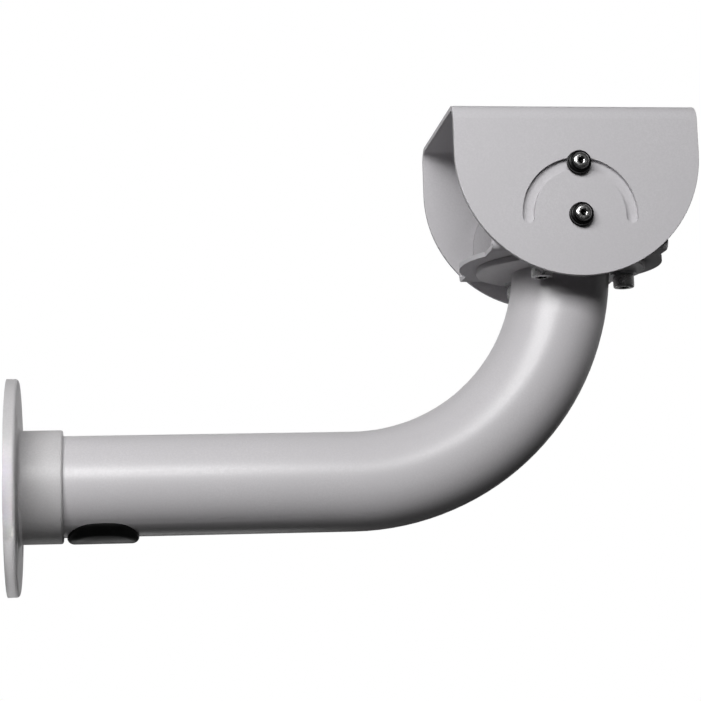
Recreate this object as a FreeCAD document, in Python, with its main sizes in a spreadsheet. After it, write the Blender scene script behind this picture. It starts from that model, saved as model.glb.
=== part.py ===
import FreeCAD, Part
import math
import os
import Sketcher

# Camera wall bracket: a round wall flange carries a bent tube, and a pan and tilt head
# stands on the tube's upright end. Origin at the centre of the wall flange's back face,
# +X out from the wall, +Z up. Lengths in millimetres, angles in degrees.

doc = FreeCAD.newDocument("camera_wall_bracket")

# Driving dimensions, one named cell each.
SIZES = [
    # wall flange
    ("wall_plate_dia", 128), ("wall_plate_thick", 7), ("wall_plate_round", 2),
    ("hub_wall", 3.5), ("hub_length", 32.5), ("hub_round", 1.5), ("hub_root_round", 2),
    ("socket_depth", 24), ("cable_bore_dia", 48),
    ("fixing_circle_dia", 98), ("fixing_hole_dia", 8.5), ("fixing_count", 4), ("fixing_turn", 45),
    # arm tube
    ("tube_dia", 60), ("tube_wall", 3), ("tube_fit", 0.05),
    ("reach", 338), ("bend_radius", 133.5), ("rise", 127), ("tube_trim", 5),
    # cable entry under the tube
    ("entry_offset", 55.5), ("entry_hole_dia", 36), ("plug_length", 42), ("plug_width", 39),
    ("plug_corner", 10), ("plug_drop", 4), ("plug_round", 3), ("plug_lip_dia", 39), ("plug_lip_thick", 2.5),
    # pan flange and its bush
    ("pan_bolt_offset", 10), ("pan_rim", 12), ("pan_flange_thick", 4), ("pan_flange_round", 0.8),
    ("bush_dia", 44), ("bush_wall", 3), ("bush_collar_dia", 52), ("bush_collar_thick", 1.8),
    ("bush_fit", 0.05), ("pan_running_gap", 0.08), ("slide_gap", 0.1),
    ("pan_bolt_count", 3), ("pan_range", 40),
    # yoke
    ("sheet_thick", 3), ("yoke_length", 107), ("yoke_overhang", 10.5), ("yoke_bend_inside", 2),
    ("ear_radius", 44), ("ear_inset", 1), ("ear_shoulder_height", 15), ("ear_shoulder_round", 5),
    ("pivot_rise", 20), ("tilt_slot_radius", 31.5), ("tilt_slot_half_angle", 92),
    # saddle
    ("head_side_gap", 2), ("saddle_radius", 74.5), ("saddle_arc_centre", 38), ("saddle_top", 68.5),
    ("saddle_bend_inside", 7), ("saddle_clearance", 0.3), ("sheet_edge_round", 0.5),
    ("camera_slot_width", 7), ("camera_slot_length", 24), ("camera_slot_spacing", 80),
    # tilt bolts: M6 button heads on wide washers
    ("tilt_bolt_dia", 6), ("tilt_bolt_length", 18), ("tilt_slot_width", 7.4), ("pivot_hole_dia", 6.16),
    ("button_head_dia", 10.5), ("button_head_height", 3.3), ("button_flat_dia", 5.6), ("button_rim", 0.7),
    ("button_dome_radius", 4.8), ("button_socket_flats", 4), ("button_socket_depth", 2),
    ("tilt_washer_dia", 14.6), ("tilt_washer_thick", 4.5), ("tilt_washer_hole_dia", 6.4),
    ("tilt_nut_flats", 10), ("tilt_nut_height", 5.2), ("tilt_nut_bore_dia", 6.1), ("tilt_nut_chamfer", 0.8),
    # pan bolts: M8 cap heads
    ("pan_bolt_dia", 8), ("pan_bolt_length", 18), ("pan_hole_dia", 8.4),
    ("cap_head_dia", 13), ("cap_head_height", 8), ("cap_head_round", 0.8),
    ("cap_socket_flats", 6), ("cap_socket_depth", 4),
    ("pan_washer_dia", 16), ("pan_washer_thick", 1.6), ("pan_washer_hole_dia", 8.4),
    ("pan_nut_flats", 13), ("pan_nut_height", 6.8), ("pan_nut_bore_dia", 8.1), ("pan_nut_chamfer", 1),
]

# Lengths that several pieces share.
HUB_RADIUS = "(tube_dia / 2 + hub_wall)"
PAN_BOLT_RADIUS = "(tube_dia / 2 + pan_bolt_offset)"
PAN_FLANGE_RADIUS = "(tube_dia / 2 + pan_bolt_offset + pan_rim)"
SADDLE_HALF = "(tube_dia / 2 + pan_bolt_offset + pan_rim + head_side_gap + sheet_thick)"
EAR_OUTSIDE = "(%s - sheet_thick - saddle_clearance)" % SADDLE_HALF
EAR_INSIDE = "(%s - 2 * sheet_thick - saddle_clearance)" % SADDLE_HALF
PIVOT_LEVEL = "(rise + pan_flange_thick + pivot_rise)"

sheet = doc.addObject("Spreadsheet::Sheet", "Sizes")
for row, (alias, value) in enumerate(SIZES, start=1):
    sheet.set("A%d" % row, alias)
    sheet.set("B%d" % row, str(value))
    sheet.setAlias("B%d" % row, alias)
doc.recompute()


def spell(text):
    """An expression in which each named size is read from the sheet."""
    words = sorted((alias for alias, _ in SIZES), key=len, reverse=True)
    marked = text
    for number, word in enumerate(words):
        marked = marked.replace(word, "{%d}" % number)
    return marked.format(*["Sizes." + word for word in words])


def size(text):
    """The present value of an expression."""
    value = sheet.evalExpression(spell(text))
    return float(getattr(value, "Value", value))


def new_body(name, x="0", y="0", z="0"):
    """An empty body whose origin stands at the given place."""
    body = doc.addObject("PartDesign::Body", name)
    body.Label = name
    place(body, x, y, z)
    return body


def place(item, x="0", y="0", z="0"):
    for axis, text in (("x", x), ("y", y), ("z", z)):
        item.setExpression("Placement.Base." + axis, spell(text))


def origin_part(body, role):
    return next(part for part in body.Origin.OriginFeatures if part.Role == role)


def new_sketch(body, role, name, offset=None):
    sketch = body.newObject("Sketcher::SketchObject", name)
    sketch.AttachmentSupport = [(origin_part(body, role), "")]
    sketch.MapMode = "FlatFace"
    if offset:
        sketch.setExpression("AttachmentOffset.Base.z", spell(offset))
    return sketch


def drive(sketch, constraint, text):
    """Add a dimension and tie it to an expression."""
    index = sketch.addConstraint(constraint)
    sketch.setExpression("Constraints[%d]" % index, spell(text))


def pin_point(sketch, geometry, corner, x, y):
    """Hold a point of the sketch at the place that two expressions give."""
    for kind, text, axis in (("DistanceX", x, -2), ("DistanceY", y, -1)):
        if abs(size(text)) < 1e-9:
            sketch.addConstraint(Sketcher.Constraint("PointOnObject", geometry, corner, axis))
        else:
            drive(sketch, Sketcher.Constraint(kind, -1, 1, geometry, corner, size(text)), text)


def add_circle(sketch, x, y, radius):
    centre = FreeCAD.Vector(size(x), size(y), 0)
    circle = sketch.addGeometry(Part.Circle(centre, FreeCAD.Vector(0, 0, 1), size(radius)))
    pin_point(sketch, circle, 3, x, y)
    drive(sketch, Sketcher.Constraint("Radius", circle, size(radius)), radius)


def arc_through(start, end, radius):
    """An arc between two points, bulging to the right of the way, or to the left for a negative radius."""
    chord = end - start
    half = chord.Length / 2
    side = FreeCAD.Vector(chord.y, -chord.x, 0).normalize()
    rise = abs(radius) - math.sqrt(max(radius * radius - half * half, 0))
    middle = (start + end) / 2 + side * math.copysign(rise, radius)
    return Part.Arc(start, middle, end)


def add_outline(sketch, corners):
    """A closed outline. Each corner is x, y and, where the next stretch is round, its radius."""
    points = [FreeCAD.Vector(size(corner[0]), size(corner[1]), 0) for corner in corners]
    count = len(points)
    pieces = []
    for number, corner in enumerate(corners):
        start = points[number]
        end = points[(number + 1) % count]
        if len(corner) == 3:
            pieces.append(sketch.addGeometry(arc_through(start, end, size(corner[2]))))
        else:
            pieces.append(sketch.addGeometry(Part.LineSegment(start, end)))
    ends = []
    for number, piece in enumerate(pieces):
        start = points[number]
        first = sketch.getPoint(piece, 1)
        ends.append((1, 2) if (first - start).Length < 1e-6 else (2, 1))
    for number, piece in enumerate(pieces):
        following = (number + 1) % count
        sketch.addConstraint(Sketcher.Constraint("Coincident", piece, ends[number][1],
                                                 pieces[following], ends[following][0]))
    for number, corner in enumerate(corners):
        pin_point(sketch, pieces[number], ends[number][0], corner[0], corner[1])
        if len(corner) == 3:
            radius = "abs(%s)" % corner[2]
            drive(sketch, Sketcher.Constraint("Radius", pieces[number], size(radius)), radius)


def add_hexagon(sketch, flats):
    """A hexagon about the origin, by its width across flats."""
    corners = []
    for step in range(6):
        turn = 60 * step
        corners.append(("%s / sqrt(3) * cos(%d)" % (flats, turn), "%s / sqrt(3) * sin(%d)" % (flats, turn)))
    add_outline(sketch, corners)


def add_slot(sketch, x, y, length, width):
    """A round-ended slot along the sketch's x, by the distance between its end centres."""
    left = "%s - %s / 2" % (x, length)
    right = "%s + %s / 2" % (x, length)
    low = "%s - %s / 2" % (y, width)
    high = "%s + %s / 2" % (y, width)
    radius = size(width) / 2
    ends = []
    for centre, start, end in ((left, 0.5, 1.5), (right, -0.5, 0.5)):
        circle = Part.Circle(FreeCAD.Vector(size(centre), size(y), 0), FreeCAD.Vector(0, 0, 1), radius)
        ends.append(sketch.addGeometry(Part.ArcOfCircle(circle, start * math.pi, end * math.pi)))
    bottom = sketch.addGeometry(Part.LineSegment(FreeCAD.Vector(size(left), size(low), 0),
                                                 FreeCAD.Vector(size(right), size(low), 0)))
    top = sketch.addGeometry(Part.LineSegment(FreeCAD.Vector(size(right), size(high), 0),
                                              FreeCAD.Vector(size(left), size(high), 0)))
    for first, first_end, second, second_end in ((ends[0], 2, bottom, 1), (bottom, 2, ends[1], 1),
                                                 (ends[1], 2, top, 1), (top, 2, ends[0], 1)):
        sketch.addConstraint(Sketcher.Constraint("Tangent", first, first_end, second, second_end))
    sketch.addConstraint(Sketcher.Constraint("Equal", ends[0], ends[1]))
    pin_point(sketch, ends[0], 3, left, y)
    drive(sketch, Sketcher.Constraint("DistanceX", -1, 1, ends[1], 3, size(right)), right)
    drive(sketch, Sketcher.Constraint("Radius", ends[0], radius), width + " / 2")


def finish_step(body, feature):
    """Recompute and check that the new feature left a sound solid."""
    doc.recompute()
    if not feature.isValid() or feature.Shape.isNull():
        raise RuntimeError("%s failed in %s" % (feature.Name, body.Label))
    return feature


def pad(body, sketch, name, length, both_ways=False):
    feature = body.newObject("PartDesign::Pad", name)
    feature.Profile = sketch
    feature.setExpression("Length", spell(length))
    feature.Midplane = both_ways
    return finish_step(body, feature)


def revolve(body, sketch, name, axis):
    feature = body.newObject("PartDesign::Revolution", name)
    feature.Profile = sketch
    feature.ReferenceAxis = (sketch, [axis])
    feature.Angle = 360
    return finish_step(body, feature)


def cut_through(body, sketch, name, both_ways=False, turned=False, depth=None):
    """A pocket that has to take material away."""
    before = body.Shape.Volume
    feature = body.newObject("PartDesign::Pocket", name)
    feature.Profile = sketch
    if depth:
        feature.setExpression("Length", spell(depth))
    else:
        feature.Type = "ThroughAll"
    feature.Midplane = both_ways
    feature.Reversed = turned
    finish_step(body, feature)
    if feature.Shape.Volume >= before - 1e-6:
        raise RuntimeError("%s cuts nothing in %s" % (name, body.Label))
    return feature


def turn_cut(body, sketch, name, axis, angle, both_ways=True):
    """A groove through part of a turn, centred on its sketch."""
    before = body.Shape.Volume
    feature = body.newObject("PartDesign::Groove", name)
    feature.Profile = sketch
    feature.ReferenceAxis = (sketch, [axis])
    feature.setExpression("Angle", spell(angle))
    feature.Midplane = both_ways
    finish_step(body, feature)
    if feature.Shape.Volume >= before - 1e-6:
        raise RuntimeError("%s cuts nothing in %s" % (name, body.Label))
    return feature


def pattern(body, features, name, axis_role, count):
    """Copies of cuts, evenly round an axis of the body."""
    feature = body.newObject("PartDesign::PolarPattern", name)
    feature.Originals = features
    feature.Axis = (origin_part(body, axis_role), [""])
    feature.Angle = 360
    feature.setExpression("Occurrences", spell(count))
    body.Tip = feature
    return finish_step(body, feature)


def edges_where(shape, test):
    """Names of the edges that a test picks."""
    return ["Edge%d" % number for number, edge in enumerate(shape.Edges, start=1) if test(edge)]


def round_edges(body, name, radius, test):
    base = body.Tip
    names = edges_where(base.Shape, test)
    if not names:
        raise RuntimeError("%s finds no edge in %s" % (name, body.Label))
    feature = body.newObject("PartDesign::Fillet", name)
    feature.Base = (base, names)
    feature.setExpression("Radius", spell(radius))
    return finish_step(body, feature)


def is_ring(edge, radius, axis, level):
    """True for a full circle of this radius at this place along the axis (0 is x, 2 is z)."""
    if not isinstance(edge.Curve, Part.Circle) or not edge.isClosed():
        return False
    return abs(edge.Curve.Radius - radius) < 1e-4 and abs(edge.Curve.Center[axis] - level) < 1e-4


def wall_flange():
    """Plate and hub, cast in one, turned about the tube's axis."""
    body = new_body("wall_flange")
    profile = new_sketch(body, "XZ_Plane", "flange_profile")
    floor = "hub_length - socket_depth"
    socket = "tube_dia / 2 + tube_fit"
    add_outline(profile, [
        ("0", "cable_bore_dia / 2"), ("0", "wall_plate_dia / 2"),
        ("wall_plate_thick", "wall_plate_dia / 2"), ("wall_plate_thick", HUB_RADIUS),
        ("hub_length", HUB_RADIUS), ("hub_length", socket),
        (floor, socket), (floor, "cable_bore_dia / 2")])
    revolve(body, profile, "flange_turned", "H_Axis")
    hole = new_sketch(body, "YZ_Plane", "fixing_hole_place")
    add_circle(hole, "fixing_circle_dia / 2 * cos(fixing_turn)", "fixing_circle_dia / 2 * sin(fixing_turn)",
               "fixing_hole_dia / 2")
    drilled = cut_through(body, hole, "fixing_hole", turned=True)
    pattern(body, [drilled], "fixing_holes", "X_Axis", "fixing_count")
    plate = size("wall_plate_dia / 2")
    hub = size(HUB_RADIUS)
    front = size("wall_plate_thick")
    round_edges(body, "plate_rounded", "wall_plate_round", lambda edge: is_ring(edge, plate, 0, front))
    round_edges(body, "hub_rounded", "hub_round", lambda edge: is_ring(edge, hub, 0, size("hub_length")))
    round_edges(body, "hub_root", "hub_root_round", lambda edge: is_ring(edge, hub, 0, front))
    return body


def arm_tube():
    """The bent tube, from the floor of the flange's socket to the underside of the pan flange."""
    start = "(hub_length - socket_depth)"
    body = new_body("arm_tube", x=start)
    section = new_sketch(body, "YZ_Plane", "tube_section")
    add_circle(section, "0", "0", "tube_dia / 2")
    add_circle(section, "0", "0", "tube_dia / 2 - tube_wall")
    path = new_sketch(body, "XZ_Plane", "tube_path")
    far = "reach - " + start
    run = far + " - bend_radius"
    radius = size("bend_radius")
    straight = path.addGeometry(Part.LineSegment(FreeCAD.Vector(0, 0, 0), FreeCAD.Vector(size(run), 0, 0)))
    centre = Part.Circle(FreeCAD.Vector(size(run), radius, 0), FreeCAD.Vector(0, 0, 1), radius)
    bend = path.addGeometry(Part.ArcOfCircle(centre, -math.pi / 2, 0))
    end = "max(rise; bend_radius) + tube_trim"
    upright = path.addGeometry(Part.LineSegment(FreeCAD.Vector(size(far), radius, 0),
                                                FreeCAD.Vector(size(far), size(end), 0)))
    path.addConstraint(Sketcher.Constraint("Coincident", straight, 1, -1, 1))
    path.addConstraint(Sketcher.Constraint("Horizontal", straight))
    path.addConstraint(Sketcher.Constraint("Tangent", straight, 2, bend, 1))
    path.addConstraint(Sketcher.Constraint("Tangent", bend, 2, upright, 1))
    path.addConstraint(Sketcher.Constraint("Vertical", upright))
    drive(path, Sketcher.Constraint("Radius", bend, radius), "bend_radius")
    drive(path, Sketcher.Constraint("DistanceX", -1, 1, upright, 2, size(far)), far)
    drive(path, Sketcher.Constraint("DistanceY", -1, 1, upright, 2, size(end)), end)
    doc.recompute()
    tube = body.newObject("PartDesign::AdditivePipe", "tube_bent")
    tube.Profile = section
    tube.Spine = (path, ["Edge1", "Edge2", "Edge3"])
    finish_step(body, tube)
    surplus = new_sketch(body, "XY_Plane", "surplus_outline", offset="rise")
    add_outline(surplus, [
        (far + " - tube_dia", "-tube_dia"), (far + " + tube_dia", "-tube_dia"),
        (far + " + tube_dia", "tube_dia"), (far + " - tube_dia", "tube_dia")])
    cut_through(body, surplus, "surplus_cut", turned=True)
    hole = new_sketch(body, "XY_Plane", "entry_hole_place")
    add_circle(hole, "entry_offset - " + start, "0", "entry_hole_dia / 2")
    cut_through(body, hole, "entry_hole")
    return body


def primitive(kind, name, sizes, x="0", y="0", z="0"):
    """A Part primitive with its sizes and place tied to the sheet."""
    item = doc.addObject("Part::" + kind, name)
    for key, text in sizes.items():
        item.setExpression(key, spell(text))
    place(item, x, y, z)
    return item


def combine(kind, name, base, tool):
    item = doc.addObject("Part::" + kind, name)
    item.Base = base
    item.Tool = tool
    return item


def tube_bar(name, radius):
    """A bar along the tube's straight run, through the cable entry."""
    bar = primitive("Cylinder", name, {"Radius": radius, "Height": "plug_length * 2"},
                    x="entry_offset - plug_length")
    bar.Placement.Rotation = FreeCAD.Rotation(FreeCAD.Vector(0, 1, 0), 90)
    return bar


def round_solid(name, base, radius, test):
    """A Part fillet on the edges that a test picks."""
    doc.recompute()
    item = doc.addObject("Part::Fillet", name)
    item.Base = base
    item.Edges = [(number, size(radius), size(radius))
                  for number, edge in enumerate(base.Shape.Edges, start=1) if test(edge)]
    return item


def cable_grommet():
    """Rubber plug: a head that hugs the tube, a neck in the hole and a lip inside."""
    block = primitive("Box", "plug_head_block",
                      {"Length": "plug_length", "Width": "plug_width", "Height": "tube_dia / 2 + plug_drop"},
                      x="entry_offset - plug_length / 2", y="-plug_width / 2",
                      z="-(tube_dia / 2 + plug_drop)")
    tall = size("tube_dia / 2 + plug_drop")
    cornered = round_solid("plug_head_cornered", block, "plug_corner",
                           lambda edge: abs(edge.BoundBox.ZLength - tall) < 1e-4)
    hugging = combine("Common", "plug_head_hugging", cornered,
                      tube_bar("plug_outer_bar", "tube_dia / 2 + plug_drop"))

    def on_outer_face(edge):
        steps = [edge.valueAt(edge.FirstParameter + (edge.LastParameter - edge.FirstParameter) * part / 4)
                 for part in range(5)]
        return all(abs(math.hypot(point.y, point.z) - tall) < 1e-3 for point in steps)
    softened = round_solid("plug_head_rounded", hugging, "plug_round", on_outer_face)
    head = combine("Cut", "plug_head", softened, tube_bar("plug_outside_bar", "tube_dia / 2 + tube_fit"))
    neck = primitive("Cylinder", "plug_neck",
                     {"Radius": "entry_hole_dia / 2 - tube_fit", "Height": "plug_drop / 2 + tube_wall * 2"},
                     x="entry_offset", z="-(tube_dia / 2 + plug_drop / 2)")
    neck_outer = combine("Common", "plug_neck_outer", neck,
                         tube_bar("plug_neck_bar", "tube_dia / 2 + plug_drop / 2"))
    neck_trimmed = combine("Cut", "plug_neck_trimmed", neck_outer,
                           tube_bar("plug_hollow_bar", "tube_dia / 2 - tube_wall - plug_lip_thick"))
    lip = primitive("Cylinder", "plug_lip_blank", {"Radius": "plug_lip_dia / 2", "Height": "tube_dia / 2"},
                    x="entry_offset", z="-(tube_dia / 2)")
    lip_outer = combine("Common", "plug_lip_outer", lip,
                        tube_bar("plug_lip_bar", "tube_dia / 2 - tube_wall - tube_fit"))
    lip_ring = combine("Cut", "plug_lip", lip_outer,
                       tube_bar("plug_lip_hollow", "tube_dia / 2 - tube_wall - plug_lip_thick"))
    grommet = doc.addObject("Part::MultiFuse", "cable_grommet")
    grommet.Shapes = [head, neck_trimmed, lip_ring]
    grommet.Label = "cable_grommet"
    return grommet


def pan_flange():
    """Round plate welded on the tube's upright end."""
    body = new_body("pan_flange", x="reach", z="rise")
    disc = new_sketch(body, "XY_Plane", "disc_outline")
    add_circle(disc, "0", "0", PAN_FLANGE_RADIUS)
    add_circle(disc, "0", "0", "bush_dia / 2 + bush_fit")
    pad(body, disc, "disc", "pan_flange_thick")
    hole = new_sketch(body, "XY_Plane", "bolt_hole_place")
    add_circle(hole, PAN_BOLT_RADIUS, "0", "pan_hole_dia / 2")
    drilled = cut_through(body, hole, "bolt_hole", turned=True)
    pattern(body, [drilled], "bolt_holes", "Z_Axis", "pan_bolt_count")
    rim = size(PAN_FLANGE_RADIUS)
    round_edges(body, "disc_rounded", "pan_flange_round",
                lambda edge: is_ring(edge, rim, 2, 0) or is_ring(edge, rim, 2, size("pan_flange_thick")))
    return body


def pan_bush():
    """Flanged bush in the pan flange's bore, the pin that the yoke turns on."""
    body = new_body("pan_bush", x="reach", z="rise")
    profile = new_sketch(body, "XZ_Plane", "bush_profile")
    inner = "bush_dia / 2 - bush_wall"
    seat = "pan_flange_thick + sheet_thick + slide_gap"
    top = seat + " + bush_collar_thick"
    add_outline(profile, [
        (inner, "0"), ("bush_dia / 2", "0"), ("bush_dia / 2", seat),
        ("bush_collar_dia / 2", seat), ("bush_collar_dia / 2", top), (inner, top)])
    revolve(body, profile, "bush_turned", "V_Axis")
    return body


def pan_yoke():
    """Sheet cradle: a base on the pan flange, bent up into two ears. Its origin is at the pivot."""
    body = new_body("pan_yoke", x="reach", z=PIVOT_LEVEL)
    channel = new_sketch(body, "YZ_Plane", "yoke_channel")
    low = "-pivot_rise"
    floor = low + " + sheet_thick"
    outer = "(yoke_bend_inside + sheet_thick)"
    add_outline(channel, [
        ("-%s" % EAR_OUTSIDE, "ear_radius"), ("-%s" % EAR_OUTSIDE, low + " + " + outer, outer),
        ("-%s + %s" % (EAR_OUTSIDE, outer), low), ("%s - %s" % (EAR_OUTSIDE, outer), low, outer),
        (EAR_OUTSIDE, low + " + " + outer), (EAR_OUTSIDE, "ear_radius"), (EAR_INSIDE, "ear_radius"),
        (EAR_INSIDE, floor + " + yoke_bend_inside", "-yoke_bend_inside"),
        (EAR_INSIDE + " - yoke_bend_inside", floor),
        ("-%s + yoke_bend_inside" % EAR_INSIDE, floor, "-yoke_bend_inside"),
        ("-%s" % EAR_INSIDE, floor + " + yoke_bend_inside"), ("-%s" % EAR_INSIDE, "ear_radius")])
    end_round = "(%s + yoke_overhang)" % PAN_FLANGE_RADIUS
    span = "(2 * %s)" % end_round
    pad(body, channel, "yoke_bent", span, both_ways=True)
    trim = new_sketch(body, "XZ_Plane", "ear_outline")
    shoulder = low + " + ear_shoulder_height"
    half = "(yoke_length / 2 - ear_inset)"
    foot = "(%s / 2 + 1)" % span
    meet = "sqrt(ear_radius ^ 2 - (%s) ^ 2)" % shoulder
    add_outline(trim, [
        ("-%s" % foot, low + " - 1"), (foot, low + " - 1"), (foot, floor),
        (half, shoulder + " - ear_shoulder_round", "ear_shoulder_round"),
        (half + " - ear_shoulder_round", shoulder), (meet, shoulder, "ear_radius"),
        ("0", "ear_radius", "ear_radius"), ("-" + meet, shoulder),
        ("-(%s - ear_shoulder_round)" % half, shoulder, "ear_shoulder_round"),
        ("-" + half, shoulder + " - ear_shoulder_round"), ("-%s" % foot, floor)])
    frame = "(%s + 5)" % foot
    add_outline(trim, [
        ("-%s" % frame, "-%s" % frame), (frame, "-%s" % frame), (frame, frame), ("-%s" % frame, frame)])
    cut_through(body, trim, "ears_cut", both_ways=True)
    ends = new_sketch(body, "XY_Plane", "base_ends")
    side = "(%s + 1)" % EAR_OUTSIDE
    edge = "yoke_length / 2"
    turn = "sqrt(%s ^ 2 - (yoke_length / 2) ^ 2)" % end_round
    add_outline(ends, [
        ("-" + edge, "-" + side), (edge, "-" + side), (edge, "-" + turn, end_round), (edge, turn),
        (edge, side), ("-" + edge, side), ("-" + edge, turn, end_round), ("-" + edge, "-" + turn)])
    wide = "(%s + 5)" % end_round
    add_outline(ends, [
        ("-" + wide, "-" + wide), (wide, "-" + wide), (wide, wide), ("-" + wide, wide)])
    cut_through(body, ends, "base_ends_cut", both_ways=True)
    bore = new_sketch(body, "XY_Plane", "bush_bore_place")
    add_circle(bore, "0", "0", "bush_dia / 2 + pan_running_gap")
    cut_through(body, bore, "bush_bore")
    pins = new_sketch(body, "XZ_Plane", "ear_hole_places")
    add_circle(pins, "0", "0", "pivot_hole_dia / 2")
    add_circle(pins, "0", "tilt_slot_radius", "pivot_hole_dia / 2")
    cut_through(body, pins, "ear_holes", both_ways=True)
    arc = new_sketch(body, "XZ_Plane", "pan_slot_section")
    near = PAN_BOLT_RADIUS + " - pan_hole_dia / 2"
    far = PAN_BOLT_RADIUS + " + pan_hole_dia / 2"
    add_outline(arc, [
        (near, low + " - 1"), (far, low + " - 1"), (far, floor + " + 1"), (near, floor + " + 1")])
    slot = turn_cut(body, arc, "pan_slot", "V_Axis", "2 * pan_range")
    caps = new_sketch(body, "XY_Plane", "pan_slot_ends")
    along = PAN_BOLT_RADIUS + " * cos(pan_range)"
    across = PAN_BOLT_RADIUS + " * sin(pan_range)"
    add_circle(caps, along, across, "pan_hole_dia / 2")
    add_circle(caps, along, "-" + across, "pan_hole_dia / 2")
    rounds = cut_through(body, caps, "pan_slot_rounds")
    pattern(body, [slot, rounds], "pan_slots", "Z_Axis", "pan_bolt_count")
    return body


def tilt_saddle():
    """Sheet saddle: a flat top bent down into two D-shaped cheeks. Its origin is at the pivot."""
    body = new_body("tilt_saddle", x="reach", z=PIVOT_LEVEL)
    channel = new_sketch(body, "YZ_Plane", "saddle_channel")
    outside = SADDLE_HALF
    inside = "(%s - sheet_thick)" % SADDLE_HALF
    outer = "(saddle_bend_inside + sheet_thick)"
    ceiling = "(saddle_top - sheet_thick)"
    low = "(saddle_arc_centre - saddle_radius)"
    add_outline(channel, [
        (outside, low), (outside, "saddle_top - " + outer, outer),
        (outside + " - " + outer, "saddle_top"), ("-(%s - %s)" % (outside, outer), "saddle_top", outer),
        ("-" + outside, "saddle_top - " + outer), ("-" + outside, low), ("-" + inside, low),
        ("-" + inside, ceiling + " - saddle_bend_inside", "-saddle_bend_inside"),
        ("-(%s - saddle_bend_inside)" % inside, ceiling),
        ("%s - saddle_bend_inside" % inside, ceiling, "-saddle_bend_inside"),
        (inside, ceiling + " - saddle_bend_inside"), (inside, low)])
    pad(body, channel, "saddle_bent", "2 * saddle_radius", both_ways=True)
    trim = new_sketch(body, "XZ_Plane", "cheek_outline")
    above = "(saddle_top + 5)"
    add_outline(trim, [
        ("-saddle_radius", above), ("-saddle_radius", "saddle_arc_centre", "saddle_radius"),
        ("0", low, "saddle_radius"), ("saddle_radius", "saddle_arc_centre"), ("saddle_radius", above)])
    frame = "(saddle_radius + 10)"
    add_outline(trim, [
        ("-" + frame, low + " - 10"), (frame, low + " - 10"), (frame, above + " + 5"),
        ("-" + frame, above + " + 5")])
    cut_through(body, trim, "cheeks_cut", both_ways=True)
    pins = new_sketch(body, "XZ_Plane", "pivot_hole_place")
    add_circle(pins, "0", "0", "pivot_hole_dia / 2")
    cut_through(body, pins, "pivot_holes", both_ways=True)
    arc = new_sketch(body, "YZ_Plane", "tilt_slot_section")
    near = "tilt_slot_radius - tilt_slot_width / 2"
    far = "tilt_slot_radius + tilt_slot_width / 2"
    reach_out = "(%s + 1)" % outside
    add_outline(arc, [("-" + reach_out, near), (reach_out, near), (reach_out, far), ("-" + reach_out, far)])
    turn_cut(body, arc, "tilt_slots", "H_Axis", "2 * tilt_slot_half_angle")
    caps = new_sketch(body, "XZ_Plane", "tilt_slot_ends")
    along = "tilt_slot_radius * sin(tilt_slot_half_angle)"
    up = "tilt_slot_radius * cos(tilt_slot_half_angle)"
    add_circle(caps, along, up, "tilt_slot_width / 2")
    add_circle(caps, "-" + along, up, "tilt_slot_width / 2")
    cut_through(body, caps, "tilt_slot_rounds", both_ways=True)
    slots = new_sketch(body, "XY_Plane", "camera_slot_places")
    for sign in ("-", ""):
        add_slot(slots, sign + "camera_slot_spacing / 2", "0",
                 "(camera_slot_length - camera_slot_width)", "camera_slot_width")
    cut_through(body, slots, "camera_slots", turned=True)
    half = size(SADDLE_HALF)
    reach_in = size("saddle_radius")
    arc_level = size("saddle_arc_centre")

    def on_cheek_rim(edge):
        box = edge.BoundBox
        flat = abs(box.YMin - box.YMax) < 1e-6 and abs(abs(box.YMin) - half) < 1e-6
        if not flat:
            return False
        if isinstance(edge.Curve, Part.Circle):
            return abs(edge.Curve.Radius - reach_in) < 1e-4
        upright = abs(box.XMin - box.XMax) < 1e-6 and abs(abs(box.XMin) - reach_in) < 1e-6
        return upright and box.ZMax > arc_level
    round_edges(body, "cheek_rims", "sheet_edge_round", on_cheek_rim)
    return body


def fastener_body(name, x, y, z, tilt):
    """A body whose own +Z points out of the piece that it fastens; tilt turns it about the X axis."""
    body = new_body(name, x, y, z)
    body.Placement = FreeCAD.Placement(body.Placement.Base, FreeCAD.Rotation(FreeCAD.Vector(1, 0, 0), tilt))
    return body


def button_bolt(name, x, y, z, tilt):
    """Socket button-head bolt, its head on the local XY plane."""
    body = fastener_body(name, x, y, z, tilt)
    profile = new_sketch(body, "XZ_Plane", "bolt_profile")
    add_outline(profile, [
        ("0", "-tilt_bolt_length"), ("tilt_bolt_dia / 2", "-tilt_bolt_length"), ("tilt_bolt_dia / 2", "0"),
        ("button_head_dia / 2", "0"), ("button_head_dia / 2", "button_rim", "button_dome_radius"),
        ("button_flat_dia / 2", "button_head_height"), ("0", "button_head_height")])
    revolve(body, profile, "bolt_turned", "V_Axis")
    socket = new_sketch(body, "XY_Plane", "socket_outline", offset="button_head_height")
    add_hexagon(socket, "button_socket_flats")
    cut_through(body, socket, "socket", depth="button_socket_depth")
    return body


def cap_bolt(name, x, y, z, tilt):
    """Socket cap bolt, its head on the local XY plane."""
    body = fastener_body(name, x, y, z, tilt)
    profile = new_sketch(body, "XZ_Plane", "bolt_profile")
    add_outline(profile, [
        ("0", "-pan_bolt_length"), ("pan_bolt_dia / 2", "-pan_bolt_length"), ("pan_bolt_dia / 2", "0"),
        ("cap_head_dia / 2", "0"), ("cap_head_dia / 2", "cap_head_height - cap_head_round", "cap_head_round"),
        ("cap_head_dia / 2 - cap_head_round", "cap_head_height"), ("0", "cap_head_height")])
    revolve(body, profile, "bolt_turned", "V_Axis")
    socket = new_sketch(body, "XY_Plane", "socket_outline", offset="cap_head_height")
    add_hexagon(socket, "cap_socket_flats")
    cut_through(body, socket, "socket", depth="cap_socket_depth")
    return body


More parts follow.
